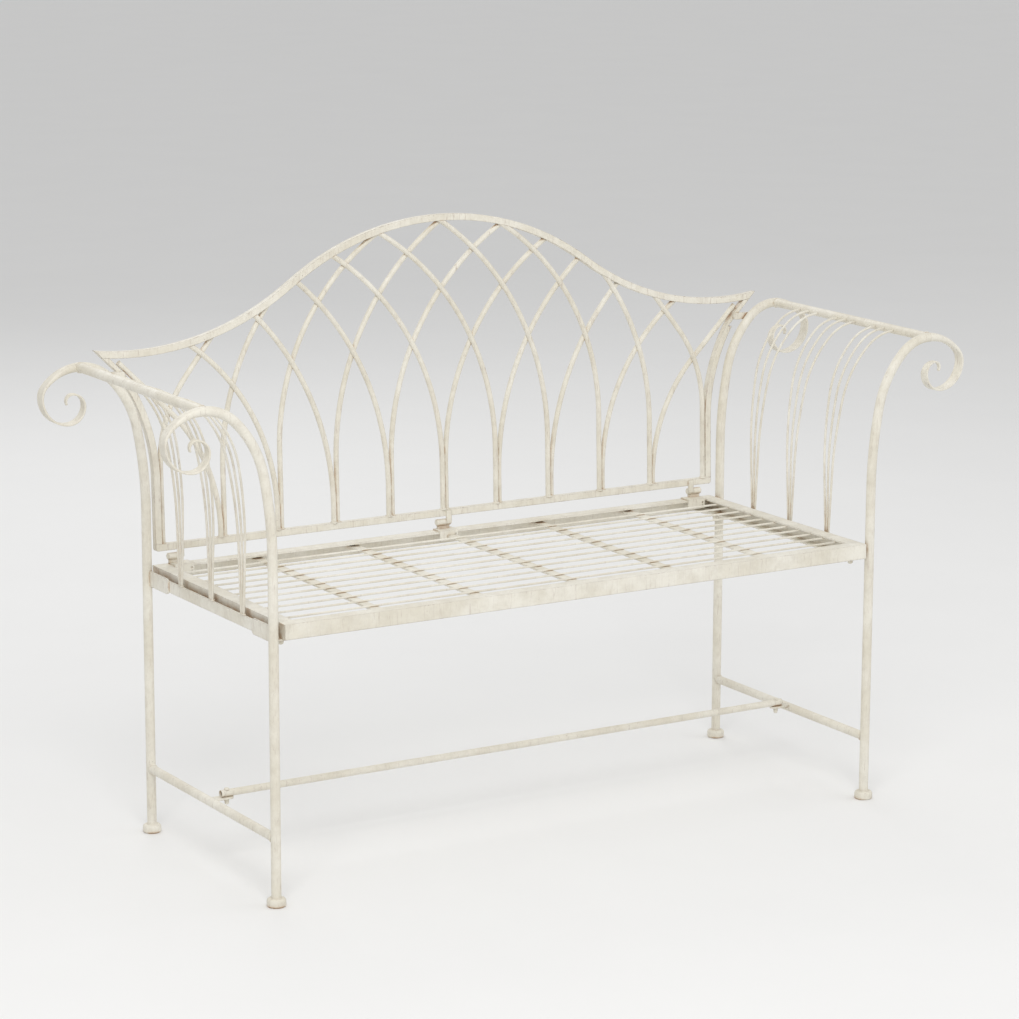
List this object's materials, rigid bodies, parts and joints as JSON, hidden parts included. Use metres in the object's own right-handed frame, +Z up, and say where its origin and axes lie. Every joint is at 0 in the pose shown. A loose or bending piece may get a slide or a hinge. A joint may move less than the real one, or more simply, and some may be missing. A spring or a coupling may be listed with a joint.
{
  "type": "garden bench",
  "caption": "Two-seat wrought metal garden bench with arched lattice back, scrolled arms, fans of thin rods and a wire grid seat.",
  "frame": {"origin": "on the ground below the middle of the bench's bounding box", "axes": "+X along the bench, to the right of someone facing its front; +Y from front to back; +Z up"},
  "size_m": [1.5198, 0.4998, 1.0071],
  "materials": {
    "frame_paint": "worn satin cream paint",
    "seat_paint": "worn satin cream paint",
    "back_paint": "worn satin cream paint",
    "connectors": "worn satin cream paint",
    "fasteners": "painted over, stained at the edges"
  },
  "bodies": {
    "root": {"arm_fan_front_left": "frame_paint", "arm_fan_front_right": "frame_paint", "arm_fan_middle_left": "frame_paint", "arm_fan_middle_right": "frame_paint", "arm_fan_rear_left": "frame_paint", "arm_fan_rear_right": "frame_paint", "arm_rail_left": "frame_paint", "arm_rail_right": "frame_paint", "back_bolts": "fasteners", "back_bottom_rail": "back_paint", "back_crest": "back_paint", "back_stile_left": "back_paint", "back_stile_right": "back_paint", "back_ties": "back_paint", "brace_bolts": "fasteners", "brace_bracket_left": "frame_paint", "brace_bracket_right": "frame_paint", "brace_nuts": "fasteners", "brace_rod": "frame_paint", "foot_cap_front_left": "frame_paint", "foot_cap_front_right": "frame_paint", "foot_cap_rear_left": "frame_paint", "foot_cap_rear_right": "frame_paint", "hinge_barrels": "connectors", "hinge_plates": "connectors", "hinge_tabs": "connectors", "lattice_half_left": "back_paint", "lattice_half_right": "back_paint", "lattice_stem_1": "back_paint", "lattice_stem_2": "back_paint", "lattice_stem_3": "back_paint", "lattice_stem_4": "back_paint", "lattice_stem_5": "back_paint", "lattice_stem_6": "back_paint", "lattice_stem_7": "back_paint", "lattice_stem_8": "back_paint", "lattice_stem_9": "back_paint", "ledge_lugs": "frame_paint", "post_front_left": "frame_paint", "post_front_right": "frame_paint", "post_rear_left": "frame_paint", "post_rear_right": "frame_paint", "seat_bolts": "fasteners", "seat_corner_plates": "seat_paint", "seat_ledge_left": "seat_paint", "seat_ledge_right": "seat_paint", "seat_nuts": "fasteners", "seat_rail_front": "seat_paint", "seat_rail_left": "seat_paint", "seat_rail_rear": "seat_paint", "seat_rail_right": "seat_paint", "seat_strap_1": "seat_paint", "seat_strap_2": "seat_paint", "seat_strap_3": "seat_paint", "seat_strap_4": "seat_paint", "seat_strap_5": "seat_paint", "seat_wires": "seat_paint", "side_stretcher_left": "frame_paint", "side_stretcher_right": "frame_paint"}
  },
  "joints": []
}
